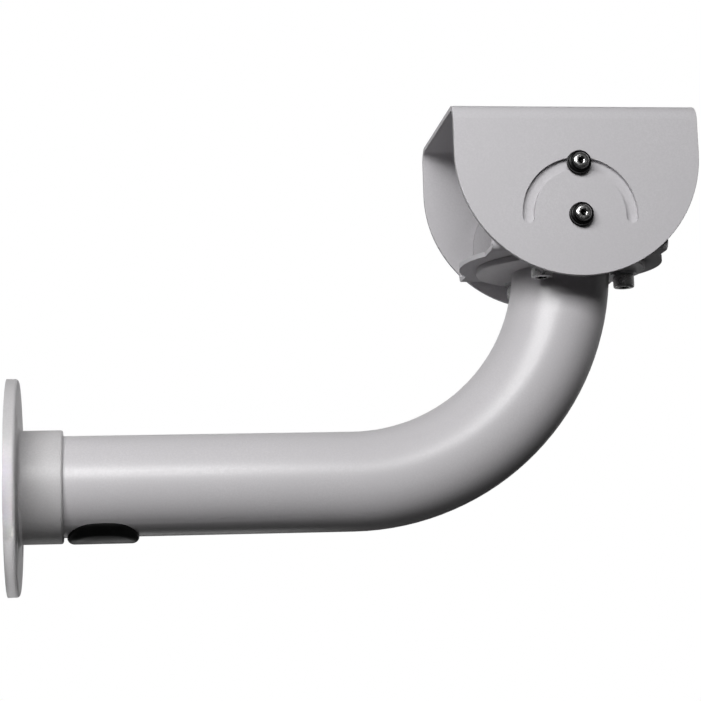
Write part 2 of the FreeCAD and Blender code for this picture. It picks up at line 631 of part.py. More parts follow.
def washer(name, kind, x, y, z, tilt):
    body = fastener_body(name, x, y, z, tilt)
    outline = new_sketch(body, "XY_Plane", "washer_outline")
    add_circle(outline, "0", "0", kind + "_washer_dia / 2")
    add_circle(outline, "0", "0", kind + "_washer_hole_dia / 2")
    pad(body, outline, "washer_pad", kind + "_washer_thick")
    return body


def nut(name, kind, x, y, z, tilt):
    """Hexagon nut with chamfered corners, on the local XY plane."""
    body = fastener_body(name, x, y, z, tilt)
    bore = kind + "_nut_bore_dia / 2"
    height = kind + "_nut_height"
    corner = "(%s_nut_flats / sqrt(3))" % kind
    inset = "%s - %s_nut_chamfer" % (corner, kind)
    slope = "%s_nut_chamfer * tan(30)" % kind
    profile = new_sketch(body, "XZ_Plane", "nut_profile")
    add_outline(profile, [
        (bore, "0"), (inset, "0"), (corner, slope), (corner, "%s - %s" % (height, slope)),
        (inset, height), (bore, height)])
    revolve(body, profile, "nut_turned", "V_Axis")
    flats = new_sketch(body, "XY_Plane", "nut_flats_outline")
    add_hexagon(flats, kind + "_nut_flats")
    add_circle(flats, "0", "0", kind + "_nut_flats")
    cut_through(body, flats, "flats", turned=True)
    return body


nodes = [wall_flange(), arm_tube(), cable_grommet(), pan_flange(), pan_bush(), pan_yoke(), tilt_saddle()]

# Tilt fasteners: a pivot bolt and a lock bolt through each cheek, with a washer outside and a nut inside.
FACE = "(%s + slide_gap)" % SADDLE_HALF
for role, height in (("pivot", PIVOT_LEVEL), ("lock", PIVOT_LEVEL + " + tilt_slot_radius")):
    for side, sign, tilt in (("front", "-", 90), ("rear", "", -90)):
        under_head = "%s(%s + tilt_washer_thick)" % (sign, FACE)
        nodes.append(button_bolt("%s_bolt_%s" % (role, side), "reach", under_head, height, tilt))
        nodes.append(washer("%s_washer_%s" % (role, side), "tilt", "reach", sign + FACE, height, tilt))
        nodes.append(nut("%s_nut_%s" % (role, side), "tilt", "reach", sign + EAR_INSIDE, height, -tilt))

# Pan fasteners: bolts up through the pan flange and the yoke's slots, evenly round the tube.
YOKE_FLOOR = "rise + pan_flange_thick + sheet_thick + slide_gap"
for number in range(int(size("pan_bolt_count"))):
    turn = "%d * 360 / pan_bolt_count" % number
    bolt_x = "reach + %s * cos(%s)" % (PAN_BOLT_RADIUS, turn)
    bolt_y = "%s * sin(%s)" % (PAN_BOLT_RADIUS, turn)
    count = number + 1
    nodes.append(cap_bolt("pan_bolt_%d" % count, bolt_x, bolt_y, "rise - pan_washer_thick", 180))
    nodes.append(washer("pan_washer_%d" % count, "pan", bolt_x, bolt_y, "rise", 180))
    nodes.append(washer("slot_washer_%d" % count, "pan", bolt_x, bolt_y, YOKE_FLOOR, 0))
    nodes.append(nut("pan_nut_%d" % count, "pan", bolt_x, bolt_y, YOKE_FLOOR + " + pan_washer_thick", 0))

doc.recompute()

for item in doc.Objects:
    if "Invalid" in item.State or "Error" in item.State:
        raise RuntimeError("%s did not recompute: %s" % (item.Name, item.State))
for node in nodes:
    if node.Shape.isNull() or not node.Shape.isValid() or not node.Shape.Solids:
        raise RuntimeError("%s has no sound solid" % node.Label)

os.makedirs("parts", exist_ok=True)
for node in nodes:
    node.Shape.exportStep(os.path.join("parts", node.Label + ".step"))
    print("%-20s solids %d volume %.1f" % (node.Label, len(node.Shape.Solids), node.Shape.Volume))
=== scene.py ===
import math

import bmesh
import bpy
from mathutils import Matrix, Vector


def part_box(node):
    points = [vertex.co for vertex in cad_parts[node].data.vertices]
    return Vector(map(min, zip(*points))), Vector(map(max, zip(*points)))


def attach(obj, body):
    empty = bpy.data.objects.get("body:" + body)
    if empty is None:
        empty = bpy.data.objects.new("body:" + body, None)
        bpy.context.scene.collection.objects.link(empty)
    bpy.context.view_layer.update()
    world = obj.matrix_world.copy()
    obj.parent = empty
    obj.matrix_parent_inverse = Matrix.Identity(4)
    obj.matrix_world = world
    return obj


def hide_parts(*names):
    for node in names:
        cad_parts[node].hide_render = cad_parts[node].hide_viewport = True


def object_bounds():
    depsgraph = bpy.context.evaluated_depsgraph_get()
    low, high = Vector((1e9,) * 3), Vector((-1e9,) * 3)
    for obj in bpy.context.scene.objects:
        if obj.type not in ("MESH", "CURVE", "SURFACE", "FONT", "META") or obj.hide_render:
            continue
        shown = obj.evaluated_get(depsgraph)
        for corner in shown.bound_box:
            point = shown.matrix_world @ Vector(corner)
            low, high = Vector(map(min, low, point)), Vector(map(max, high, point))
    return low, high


# The looks of a gooseneck camera bracket: powder-coated arm and head, bright screws on black
# washers, a rubber plug. Lengths are in metres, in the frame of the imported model.

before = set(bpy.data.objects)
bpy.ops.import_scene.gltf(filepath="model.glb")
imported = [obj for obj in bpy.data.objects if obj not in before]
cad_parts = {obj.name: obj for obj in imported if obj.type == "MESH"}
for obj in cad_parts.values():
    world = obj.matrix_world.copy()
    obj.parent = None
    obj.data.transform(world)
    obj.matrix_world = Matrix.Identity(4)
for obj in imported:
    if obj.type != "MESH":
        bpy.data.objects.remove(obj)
cad_low, cad_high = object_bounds()

MM = 0.001
PHOTO_SIZE = 701


def middle(node):
    """The centre of a CAD node's box."""
    low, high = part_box(node)
    return (low + high) / 2


# Camera, fitted to the outlines in the photograph

CAMERA_PLACE = Vector((0.05637, -1.13813, -0.09512))
CAMERA_YAW = 7.46
CAMERA_PITCH = 8.66
CAMERA_ROLL = -1.71
CAMERA_FOCAL_PIXELS = 1911.76
SENSOR_WIDTH = 36.0


def make_camera():
    """A camera at the fitted place, turned by its yaw, pitch and roll."""
    data = bpy.data.cameras.new("photo_camera")
    data.sensor_width = SENSOR_WIDTH
    data.sensor_fit = "HORIZONTAL"
    data.lens = SENSOR_WIDTH * CAMERA_FOCAL_PIXELS / PHOTO_SIZE
    data.clip_start = 0.01
    camera = bpy.data.objects.new("photo_camera", data)
    bpy.context.scene.collection.objects.link(camera)
    yaw, pitch, roll = (math.radians(angle) for angle in (CAMERA_YAW, CAMERA_PITCH, CAMERA_ROLL))
    ahead = Vector((math.sin(yaw) * math.cos(pitch), math.cos(yaw) * math.cos(pitch), math.sin(pitch)))
    level = Vector((math.cos(yaw), -math.sin(yaw), 0))
    upright = level.cross(ahead)
    right = level * math.cos(roll) + upright * math.sin(roll)
    up = upright * math.cos(roll) - level * math.sin(roll)
    turn = Matrix((right, up, -ahead)).transposed()
    camera.matrix_world = Matrix.Translation(CAMERA_PLACE) @ turn.to_4x4()
    bpy.context.scene.camera = camera


# Shader helpers

def new_node(tree, kind, values=None, **settings):
    """A node with its settings and the values of its input sockets."""
    node = tree.nodes.new(kind)
    for name, value in settings.items():
        setattr(node, name, value)
    for name, value in (values or {}).items():
        node.inputs[name].default_value = value
    return node


def grey(value, warmth=0.0, green=0.0):
    """A grey from its display value, 0 to 255, made warmer and greener, or the opposite."""
    def linear(level):
        level = level / 255
        return level / 12.92 if level <= 0.04045 else ((level + 0.055) / 1.055) ** 2.4
    return (linear(value + warmth), linear(value + green), linear(value - warmth), 1.0)


def new_group(name, inputs, outputs):
    """An empty node group with named sockets."""
    tree = bpy.data.node_groups.new(name, "ShaderNodeTree")
    for label, kind, default in inputs:
        socket = tree.interface.new_socket(name=label, in_out="INPUT", socket_type=kind)
        if default is not None:
            socket.default_value = default
    for label, kind in outputs:
        tree.interface.new_socket(name=label, in_out="OUTPUT", socket_type=kind)
    return tree, tree.nodes.new("NodeGroupInput"), tree.nodes.new("NodeGroupOutput")


def coat_grain_group():
    """Powder coat: broad unevenness in tone, fine specks, and the height of its orange peel."""
    tree, inside, outside = new_group("coat_grain", [
        ("Vector", "NodeSocketVector", None), ("Speck Scale", "NodeSocketFloat", 900.0),
        ("Cloud Scale", "NodeSocketFloat", 22.0), ("Peel Scale", "NodeSocketFloat", 420.0)],
        [("Cloud", "NodeSocketFloat"), ("Speck", "NodeSocketFloat"), ("Peel", "NodeSocketFloat")])
    links = tree.links
    cloud = new_node(tree, "ShaderNodeTexNoise", {"Detail": 3.0, "Roughness": 0.55})
    speck = new_node(tree, "ShaderNodeTexNoise", {"Detail": 1.0, "Roughness": 0.7})
    peel = new_node(tree, "ShaderNodeTexNoise", {"Detail": 2.0, "Roughness": 0.5})
    for texture, scale in ((cloud, "Cloud Scale"), (speck, "Speck Scale"), (peel, "Peel Scale")):
        links.new(inside.outputs["Vector"], texture.inputs["Vector"])
        links.new(inside.outputs[scale], texture.inputs["Scale"])
    sharper = new_node(tree, "ShaderNodeMapRange", {"From Min": 0.38, "From Max": 0.66})
    links.new(speck.outputs["Fac"], sharper.inputs["Value"])
    links.new(cloud.outputs["Fac"], outside.inputs["Cloud"])
    links.new(sharper.outputs["Result"], outside.inputs["Speck"])
    links.new(peel.outputs["Fac"], outside.inputs["Peel"])
    return tree


def machined_group():
    """Turned metal: rings round an axis, by the distance kept on the mesh, and a fine scuff."""
    tree, inside, outside = new_group("machined", [
        ("Vector", "NodeSocketVector", None), ("Radius", "NodeSocketFloat", 0.0),
        ("Ring Step", "NodeSocketFloat", 0.00035), ("Scuff Scale", "NodeSocketFloat", 600.0)],
        [("Rings", "NodeSocketFloat"), ("Scuff", "NodeSocketFloat")])
    links = tree.links
    turns = new_node(tree, "ShaderNodeMath", operation="DIVIDE")
    links.new(inside.outputs["Radius"], turns.inputs[0])
    links.new(inside.outputs["Ring Step"], turns.inputs[1])
    phase = new_node(tree, "ShaderNodeMath", operation="MULTIPLY")
    phase.inputs[1].default_value = math.tau
    links.new(turns.outputs[0], phase.inputs[0])
    wave = new_node(tree, "ShaderNodeMath", operation="SINE")
    links.new(phase.outputs[0], wave.inputs[0])
    rings = new_node(tree, "ShaderNodeMapRange", {"From Min": -1.0, "From Max": 1.0})
    links.new(wave.outputs[0], rings.inputs["Value"])
    scuff = new_node(tree, "ShaderNodeTexNoise", {"Detail": 4.0, "Roughness": 0.65})
    links.new(inside.outputs["Vector"], scuff.inputs["Vector"])
    links.new(inside.outputs["Scuff Scale"], scuff.inputs["Scale"])
    links.new(rings.outputs["Result"], outside.inputs["Rings"])
    links.new(scuff.outputs["Fac"], outside.inputs["Scuff"])
    return tree


def start_material(name, values):
    """A material with its shader, and the object coordinates that its patterns read."""
    material = bpy.data.materials.new(name)
    material.use_nodes = True
    tree = material.node_tree
    tree.nodes.clear()
    output = tree.nodes.new("ShaderNodeOutputMaterial")
    shader = new_node(tree, "ShaderNodeBsdfPrincipled", values)
    tree.links.new(shader.outputs["BSDF"], output.inputs["Surface"])
    place = tree.nodes.new("ShaderNodeTexCoord")
    return material, tree, shader, place.outputs["Object"]


def add_group(tree, group, vector, values=None):
    """A node group in a material, with its vector linked and its input values."""
    node = tree.nodes.new("ShaderNodeGroup")
    node.node_tree = group
    tree.links.new(vector, node.inputs["Vector"])
    for name, value in (values or {}).items():
        node.inputs[name].default_value = value
    return node


# Sockets of the mix node for colours, which shares its socket names with the other data types
MIX_FACTOR, MIX_LOW, MIX_HIGH, MIX_RESULT = 0, 6, 7, 2


def mix_colours(tree, factor, low, high):
    """A colour between low and high, each a colour or a socket, by a socket from 0 to 1."""
    node = new_node(tree, "ShaderNodeMix", data_type="RGBA")
    tree.links.new(factor, node.inputs[MIX_FACTOR])
    for socket, value in ((node.inputs[MIX_LOW], low), (node.inputs[MIX_HIGH], high)):
        if isinstance(value, tuple):
            socket.default_value = value
        else:
            tree.links.new(value, socket)
    return node.outputs[MIX_RESULT]


def spread(tree, value, low, high, from_low=0.0, from_high=1.0):
    """The value mapped onto the range from low to high."""
    node = new_node(tree, "ShaderNodeMapRange",
                    {"From Min": from_low, "From Max": from_high, "To Min": low, "To Max": high})
    tree.links.new(value, node.inputs["Value"])
    return node.outputs["Result"]


def bump(tree, shader, height, strength, distance):
    """Bump from a pattern's height, on the shader's normal."""
    node = new_node(tree, "ShaderNodeBump", {"Strength": strength, "Distance": distance})
    tree.links.new(height, node.inputs["Height"])
    tree.links.new(node.outputs["Normal"], shader.inputs["Normal"])


COAT_GRAIN = coat_grain_group()
MACHINED = machined_group()

# Noise keeps near its middle, so these ranges of it are stretched to the whole of a pattern
WIDE_NOISE = (0.3, 0.7)
NARROW_NOISE = (0.35, 0.65)
HIGH_NOISE = (0.4, 0.75)
# Display tones painted on the steel: painted shade inside a screw's socket, and a painted dark
# reflection on the rim of its head
SOCKET_SHADE_TONE = 12
RIM_REFLECTION_TONE = 24


def powder_coat(name, tone, warmth, green, speck_depth, roughness, gloss=0.5):
    """Smooth powder coat of one tone, a little cloudy, with faint specks and orange peel."""
    material, tree, shader, place = start_material(name, {"IOR": 1.5, "Specular IOR Level": gloss})
    grain = add_group(tree, COAT_GRAIN, place)
    cloudy = mix_colours(tree, spread(tree, grain.outputs["Cloud"], 0, 1, *WIDE_NOISE),
                         grey(tone - 2, warmth, green), grey(tone + 2, warmth, green))
    specks = mix_colours(tree, grain.outputs["Speck"],
                         grey(tone - speck_depth, warmth, green), cloudy)
    tree.links.new(specks, shader.inputs["Base Color"])
    tree.links.new(spread(tree, grain.outputs["Speck"], roughness + 0.04, roughness - 0.03),
                   shader.inputs["Roughness"])
    bump(tree, shader, grain.outputs["Peel"], strength=0.08, distance=0.00010)
    return material


def turned_steel(name, tone, warmth, roughness, ring_strength, socket_shade_edge, rim_reflection_edge):
    """Bright steel by its distance from the axis, with painted shade in the socket and a painted dark
    reflection towards the rim.

    Each edge is the pair of distances between which the steel changes.
    """
    material, tree, shader, place = start_material(name, {"Metallic": 1.0})
    radius = new_node(tree, "ShaderNodeAttribute", attribute_name="turning_radius")
    turned = add_group(tree, MACHINED, place)
    tree.links.new(radius.outputs["Fac"], turned.inputs["Radius"])
    bright = mix_colours(tree, spread(tree, turned.outputs["Scuff"], 0, 1, *NARROW_NOISE),
                         grey(tone - 16, warmth), grey(tone, warmth))
    # Painted shade: the steel is darkened inside the socket, where its recess falls in shade
    inside = spread(tree, radius.outputs["Fac"], 1, 0, *socket_shade_edge)
    socket_painted_shade = mix_colours(tree, inside, bright, grey(SOCKET_SHADE_TONE))
    # Painted dark reflection: the dome's flank and rim are darkened as if they mirrored a dark room
    rim = spread(tree, radius.outputs["Fac"], 0, 1, *rim_reflection_edge)
    colour = mix_colours(tree, rim, socket_painted_shade, grey(RIM_REFLECTION_TONE))
    tree.links.new(colour, shader.inputs["Base Color"])
    scuffed = spread(tree, turned.outputs["Scuff"], roughness - 0.05, roughness + 0.09, *NARROW_NOISE)
    tree.links.new(scuffed, shader.inputs["Roughness"])
    bump(tree, shader, turned.outputs["Rings"], strength=ring_strength, distance=0.00003)
    return material


def plated_steel(name, tone, warmth, roughness):
    """Zinc plate: soft patches over a metallic grey."""
    material, tree, shader, place = start_material(name, {"Metallic": 1.0})
    grain = add_group(tree, COAT_GRAIN, place, {"Cloud Scale": 140.0, "Peel Scale": 1500.0})
    colour = mix_colours(tree, spread(tree, grain.outputs["Cloud"], 0, 1, *NARROW_NOISE),
                         grey(tone - 22, warmth), grey(tone + 6, warmth))
    tree.links.new(colour, shader.inputs["Base Color"])
    tree.links.new(spread(tree, grain.outputs["Cloud"], roughness - 0.08, roughness + 0.10, *WIDE_NOISE),
                   shader.inputs["Roughness"])
    bump(tree, shader, grain.outputs["Peel"], strength=0.2, distance=0.00004)
    return material


def black_finish(name, tone, roughness, peel_scale, peel_depth, gloss=0.5):
    """Rubber, nylon or blackened steel: a dark base with a worn grey tint on its high grain."""
    material, tree, shader, place = start_material(name, {"IOR": 1.5, "Specular IOR Level": gloss})
    grain = add_group(tree, COAT_GRAIN, place, {"Peel Scale": peel_scale, "Cloud Scale": 90.0})
    colour = mix_colours(tree, spread(tree, grain.outputs["Cloud"], 0, 1, *HIGH_NOISE),
                         grey(tone), grey(tone + 8))
    tree.links.new(colour, shader.inputs["Base Color"])
    tree.links.new(spread(tree, grain.outputs["Cloud"], roughness - 0.06, roughness + 0.08, *WIDE_NOISE),
                   shader.inputs["Roughness"])
    bump(tree, shader, grain.outputs["Peel"], strength=0.4, distance=peel_depth)
    return material


PAINT = powder_coat("arm_powder_coat", tone=203, warmth=-0.2, green=-2.4,
                    speck_depth=4, roughness=0.34)
CAST_PAINT = powder_coat("flange_powder_coat", tone=194, warmth=0.2, green=-1.4,
                         speck_depth=5, roughness=0.46)
HEAD_PAINT = powder_coat("head_powder_coat", tone=198, warmth=-0.5, green=-2.4,
                         speck_depth=4, roughness=0.62, gloss=0.2)
# Button screws: painted shade in the socket, and a painted dark reflection on the flank and rim of the
# dome
BRIGHT_STEEL = turned_steel("bright_screw_steel", tone=228, warmth=0.3, roughness=0.2,
                            ring_strength=0.2, socket_shade_edge=(0.00185, 0.0020),
                            rim_reflection_edge=(0.0041, 0.0050))
# The cap heads are bright up to their rim, so the edge of their painted dark reflection lies outside
# them
CAP_STEEL = turned_steel("cap_screw_steel", tone=205, warmth=0.3, roughness=0.28,
                         ring_strength=0.2, socket_shade_edge=(0.0030, 0.0035), rim_reflection_edge=(0.02, 0.03))
ZINC = plated_steel("zinc_plate", tone=196, warmth=-1.5, roughness=0.34)
BLACK_STEEL = black_finish("blackened_steel", tone=2, roughness=0.27,
                           peel_scale=900, peel_depth=0.00003, gloss=0.18)
RUBBER = black_finish("plug_rubber", tone=3, roughness=0.38,
                      peel_scale=700, peel_depth=0.00004, gloss=0.25)
NYLON = black_finish("bush_nylon", tone=32, roughness=0.4, peel_scale=500, peel_depth=0.00003)


def paint_node(name, material):
    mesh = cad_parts[name].data
    mesh.materials.clear()
    mesh.materials.append(material)


def paint_cad_nodes():
    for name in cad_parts:
        if name == "wall_flange":
            paint_node(name, CAST_PAINT)
        elif name in ("arm_tube", "pan_flange"):
            paint_node(name, PAINT)
        elif name in ("pan_yoke", "tilt_saddle"):
            paint_node(name, HEAD_PAINT)
        elif name == "cable_grommet":
            paint_node(name, RUBBER)
        elif name == "pan_bush":
            paint_node(name, NYLON)
        elif "_bolt_" in name:
            paint_node(name, BRIGHT_STEEL)
        elif name.startswith(("pivot_washer", "lock_washer")):
            paint_node(name, BLACK_STEEL)
        else:
            paint_node(name, ZINC)


# Screws: turned meshes with a true socket and a cut thread, set on the CAD bolts' places

BUTTON_HEIGHT = 3.3 * MM
CAP_HEIGHT = 8.0 * MM
# Edges that turn by more than this many degrees stay sharp
SHARP_EDGE = 32


def hexagon_radius(flats, angle):
    """Distance from the axis to the side of a hexagon socket."""
    part = angle % (math.pi / 3) - math.pi / 6
    return flats / 2 / math.cos(part)


def smooth(mesh, sharp_edge):
    mesh.polygons.foreach_set("use_smooth", [True] * len(mesh.polygons))
    mesh.set_sharp_from_angle(angle=math.radians(sharp_edge))


def mesh_with_distances(name, points, faces, distances):
    """A smooth mesh that keeps each point's distance from the axis for the steel's shader."""
    mesh = bpy.data.meshes.new(name)
    mesh.from_pydata(points, [], faces)
    smooth(mesh, SHARP_EDGE)
    attribute = mesh.attributes.new("turning_radius", "FLOAT", "POINT")
    attribute.data.foreach_set("value", distances)
    return mesh


def stacked_faces(ring_count, segments):
    """Faces over a first point, rings of points one above the other, and a last point."""
    top = 1 + (ring_count - 1) * segments
    last = top + segments
    faces = []
    for step in range(segments):
        following = (step + 1) % segments
        faces.append((0, 1 + following, 1 + step))
        faces.append((top + step, top + following, last))
        for low in range(1, top, segments):
            high = low + segments
            faces.append((low + step, low + following, high + following, high + step))
    return faces


def turned_mesh(name, rings, segments):
    """A closed mesh from rings of (height, radius or radius by angle), from the tip up.

    The first and the last of the rings are its end points on the axis.
    """
    points = [(0, 0, rings[0][0])]
    distances = [0.0]
    for height, radius in rings[1:-1]:
        for step in range(segments):
            angle = math.tau * step / segments
            reach = radius(angle) if callable(radius) else radius
            points.append((reach * math.cos(angle), reach * math.sin(angle), height))
            distances.append(reach)
    points.append((0, 0, rings[-1][0]))
    distances.append(0.0)
    return mesh_with_distances(name, points, stacked_faces(len(rings) - 2, segments), distances)


def thread_rings(start, end, outer, depth, pitch, steps=8):
    """Rings of a helical thread between two heights, with so many steps to a turn."""
    rings = []
    count = round((end - start) / pitch * steps)
    for number in range(count + 1):
        height = start + (end - start) * number / count
        fade = min(1.0, (height - start) / pitch, (end - height) / pitch)

        def radius(angle, height=height, fade=fade):
            wave = 0.5 + 0.5 * math.cos(math.tau * height / pitch - angle)
            return outer - depth * fade * (1 - wave)
        rings.append((height, radius))
    return rings


def socket_rings(face, flats, depth, chamfer):
    """The hexagon socket of a head, from its rim down to the drill point."""
    def wide(angle):
        return hexagon_radius(flats + 2 * chamfer, angle)

    def walls(angle):
        return hexagon_radius(flats, angle)
    return [(face, wide), (face - chamfer, walls), (face - depth * 0.5, walls), (face - depth, walls),
            (face - depth - flats * 0.12, flats * 0.2), (face - depth - flats * 0.2, None)]


def button_screw_mesh():
    """An M6 screw with a low domed head, its underside at height 0."""
    shank, length, rim_radius, rim = 2.97 * MM, 18 * MM, 5.25 * MM, 0.7 * MM
    flat, face = 2.8 * MM, BUTTON_HEIGHT
    # Powers that make the dome a little fuller than a quarter of an ellipse
    inward, upward = 0.8, 0.92
    rings = [(-length, None), (-length, shank - 0.6 * MM), (-length + 0.5 * MM, shank - 0.05 * MM)]
    rings += thread_rings(-length + 0.6 * MM, -1.6 * MM, shank, depth=0.5 * MM, pitch=1.0 * MM)
    rings += [(-1.0 * MM, shank), (0, shank), (0, rim_radius - 0.15 * MM), (0.12 * MM, rim_radius),
              (rim, rim_radius - 0.02 * MM)]
    steps = 10
    for number in range(1, steps + 1):
        turn = math.pi / 2 * number / steps
        radius = flat + (rim_radius - flat) * math.cos(turn) ** inward
        height = rim + (face - rim) * math.sin(turn) ** upward
        rings.append((min(height, face), radius))
    rings += socket_rings(face, flats=4.0 * MM, depth=2.0 * MM, chamfer=0.12 * MM)
    return turned_mesh("button_screw", rings, segments=72)


def cap_screw_mesh():
    """An M8 screw with a knurled cap head, its underside at height 0."""
    shank, length, head, face = 3.97 * MM, 18 * MM, 6.5 * MM, CAP_HEIGHT
    grooves, groove_depth = 36, 0.16 * MM

    def knurl(angle):
        return head - groove_depth * (0.5 + 0.5 * math.cos(grooves * angle))
    rings = [(-length, None), (-length, shank - 0.8 * MM), (-length + 0.6 * MM, shank - 0.05 * MM)]
    rings += thread_rings(-length + 0.7 * MM, -2.5 * MM, shank, depth=0.65 * MM, pitch=1.25 * MM,
                          steps=6)
    rings += [(-1.2 * MM, shank), (0, shank), (0, head - 0.5 * MM), (0.35 * MM, head - groove_depth),
              (0.6 * MM, knurl), (face - 1.5 * MM, knurl), (face - 1.2 * MM, head - groove_depth),
              (face - 0.8 * MM, head - 0.02 * MM), (face - 0.35 * MM, head - 0.2 * MM),
              (face - 0.1 * MM, head - 0.55 * MM), (face, head - 0.9 * MM), (face, 4.2 * MM)]
    rings += socket_rings(face, flats=6.0 * MM, depth=4.0 * MM, chamfer=0.2 * MM)
    return turned_mesh("cap_screw", rings, segments=144)


def ring_mesh(name, profile, segments):
    """A closed ring turned from a profile of (radius, height), up its outside and down its bore."""
    points = []
    distances = []
    for step in range(segments):
        angle = math.tau * step / segments
        for radius, height in profile:
            points.append((radius * math.cos(angle), radius * math.sin(angle), height))
            distances.append(radius)
    faces = []
    count = len(profile)
    for step in range(segments):
        here = step * count
        there = (step + 1) % segments * count
        for number in range(count):
            following = (number + 1) % count
            faces.append((here + number, there + number, there + following, here + following))
    return mesh_with_distances(name, points, faces, distances)


def washer_stack_mesh():
    """A flat washer with a narrower domed one on it, their edges rounded."""
    bore, wide, narrow = 3.25 * MM, 7.3 * MM, 7.0 * MM
    flat, top, dome = 1.6 * MM, 4.5 * MM, 1.1 * MM
    profile = [(bore, 0), (wide - 0.3 * MM, 0), (wide - 0.08 * MM, 0.1 * MM), (wide, 0.35 * MM),
               (wide, flat - 0.4 * MM), (wide - 0.1 * MM, flat - 0.12 * MM),
               (wide - 0.35 * MM, flat), (narrow - 0.25 * MM, flat + 0.05 * MM),
               (narrow - 0.05 * MM, flat + 0.25 * MM), (narrow, flat + 0.5 * MM)]
    steps = 6
    for number in range(steps + 1):
        turn = math.pi / 2 * number / steps
        profile.append((narrow - dome * (1 - math.cos(turn)), top - dome * (1 - math.sin(turn))))
    profile += [(bore + 0.2 * MM, top), (bore, top - 0.2 * MM)]
    return ring_mesh("washer_stack", profile, segments=96)


def repeat_group():
    """One copy of an object at each point of a mesh, turned as the point's 'facing' attribute says."""
    tree = bpy.data.node_groups.new("repeat_on_points", "GeometryNodeTree")
    for name, kind in (("Geometry", "Geometry"), ("Item", "Object"), ("Finish", "Material")):
        tree.interface.new_socket(name=name, in_out="INPUT", socket_type="NodeSocket" + kind)
    tree.interface.new_socket(name="Geometry", in_out="OUTPUT", socket_type="NodeSocketGeometry")
    inside = tree.nodes.new("NodeGroupInput")
    outside = tree.nodes.new("NodeGroupOutput")
    item = new_node(tree, "GeometryNodeObjectInfo")
    facing = new_node(tree, "GeometryNodeInputNamedAttribute", {"Name": "facing"},
                      data_type="FLOAT_VECTOR")
    copies = tree.nodes.new("GeometryNodeInstanceOnPoints")
    real = tree.nodes.new("GeometryNodeRealizeInstances")
    finish = tree.nodes.new("GeometryNodeSetMaterial")
    tree.links.new(inside.outputs["Item"], item.inputs["Object"])
    tree.links.new(inside.outputs["Geometry"], copies.inputs["Points"])
    tree.links.new(item.outputs["Geometry"], copies.inputs["Instance"])
    tree.links.new(facing.outputs["Attribute"], copies.inputs["Rotation"])
    tree.links.new(copies.outputs["Instances"], real.inputs["Geometry"])
    tree.links.new(real.outputs["Geometry"], finish.inputs["Geometry"])
    tree.links.new(inside.outputs["Finish"], finish.inputs["Material"])
    tree.links.new(finish.outputs["Geometry"], outside.inputs["Geometry"])
    return tree


REPEAT = repeat_group()


def set_inputs(modifier, values):
    """Sets a modifier's inputs by their socket identifiers."""
    for socket in modifier.node_group.interface.items_tree:
        if socket.item_type == "SOCKET" and socket.in_out == "INPUT" and socket.name in values:
            modifier[socket.identifier] = values[socket.name]


def repeated_piece(name, item_mesh, places, material):
    """One plain mesh with a copy of the item at each (place, turn) of the list."""
    item = bpy.data.objects.new(name + "_item", item_mesh)
    points = bpy.data.meshes.new(name + "_points")
    points.from_pydata([place for place, _ in places], [], [])
    facing = points.attributes.new("facing", "FLOAT_VECTOR", "POINT")
    facing.data.foreach_set("vector", [value for _, turn in places for value in turn])
    carrier = bpy.data.objects.new(name + "_carrier", points)
    for thing in (item, carrier):
        bpy.context.scene.collection.objects.link(thing)
    modifier = carrier.modifiers.new("repeat", "NODES")
    modifier.node_group = REPEAT
    set_inputs(modifier, {"Item": item, "Finish": material})
    graph = bpy.context.evaluated_depsgraph_get()
    graph.update()
    mesh = bpy.data.meshes.new_from_object(carrier.evaluated_get(graph), depsgraph=graph)
    mesh.name = name
    carrier.modifiers.clear()
    for thing in (item, carrier):
        bpy.data.objects.remove(thing, do_unlink=True)
    mesh.materials.clear()
    mesh.materials.append(material)
    piece = bpy.data.objects.new(name, mesh)
    bpy.context.scene.collection.objects.link(piece)
    return piece


# Rubber plug of the cable entry: a head that hugs the tube, a neck in its hole, a lip inside

TUBE_RADIUS = 30 * MM
PLUG_HALF_LENGTH = 21 * MM
PLUG_HALF_WIDTH = 19.5 * MM
PLUG_SQUARENESS = 3.0
PLUG_DROP = 3.95 * MM
PLUG_ROUND = 3.6 * MM
PLUG_INSET = 4.4 * MM
PLUG_SEGMENTS = 160
PLUG_ROUND_STEPS = 12
PLUG_SHARP_EDGE = 40
NECK_RADIUS = 17.9 * MM
LIP_RADIUS = 19.4 * MM
LIP_CHAMFER = 0.4 * MM
LIP_CORNER = 0.3 * MM
# Distances from the tube's axis to the lip's two faces, and from the tube to the head's underside
LIP_NEAR, LIP_FAR = 24.5 * MM, 26.9 * MM
HEAD_GAP = 0.06 * MM


def plug_outline(angle, inset):
    """A point of the head's rounded outline, drawn in by the inset."""
    power = 2 / PLUG_SQUARENESS
    across = math.copysign(abs(math.cos(angle)) ** power, math.cos(angle))
    along = math.copysign(abs(math.sin(angle)) ** power, math.sin(angle))
    return (PLUG_HALF_LENGTH - inset) * across, (PLUG_HALF_WIDTH - inset) * along


def lip_and_neck_rings():
    """Round rings of (x, y, distance from the tube's axis), from the inside of the lip outwards."""
    turns = [math.tau * step / PLUG_SEGMENTS for step in range(PLUG_SEGMENTS)]
    profile = [(6 * MM, LIP_NEAR), (12 * MM, LIP_NEAR), (LIP_RADIUS - LIP_CHAMFER, LIP_NEAR),
               (LIP_RADIUS, LIP_NEAR + LIP_CHAMFER), (LIP_RADIUS, LIP_FAR - LIP_CORNER),
               (LIP_RADIUS - LIP_CORNER, LIP_FAR), (NECK_RADIUS, LIP_FAR),
               (NECK_RADIUS, TUBE_RADIUS + HEAD_GAP)]
    return [[(radius * math.cos(turn), radius * math.sin(turn), level) for turn in turns]
            for radius, level in profile]


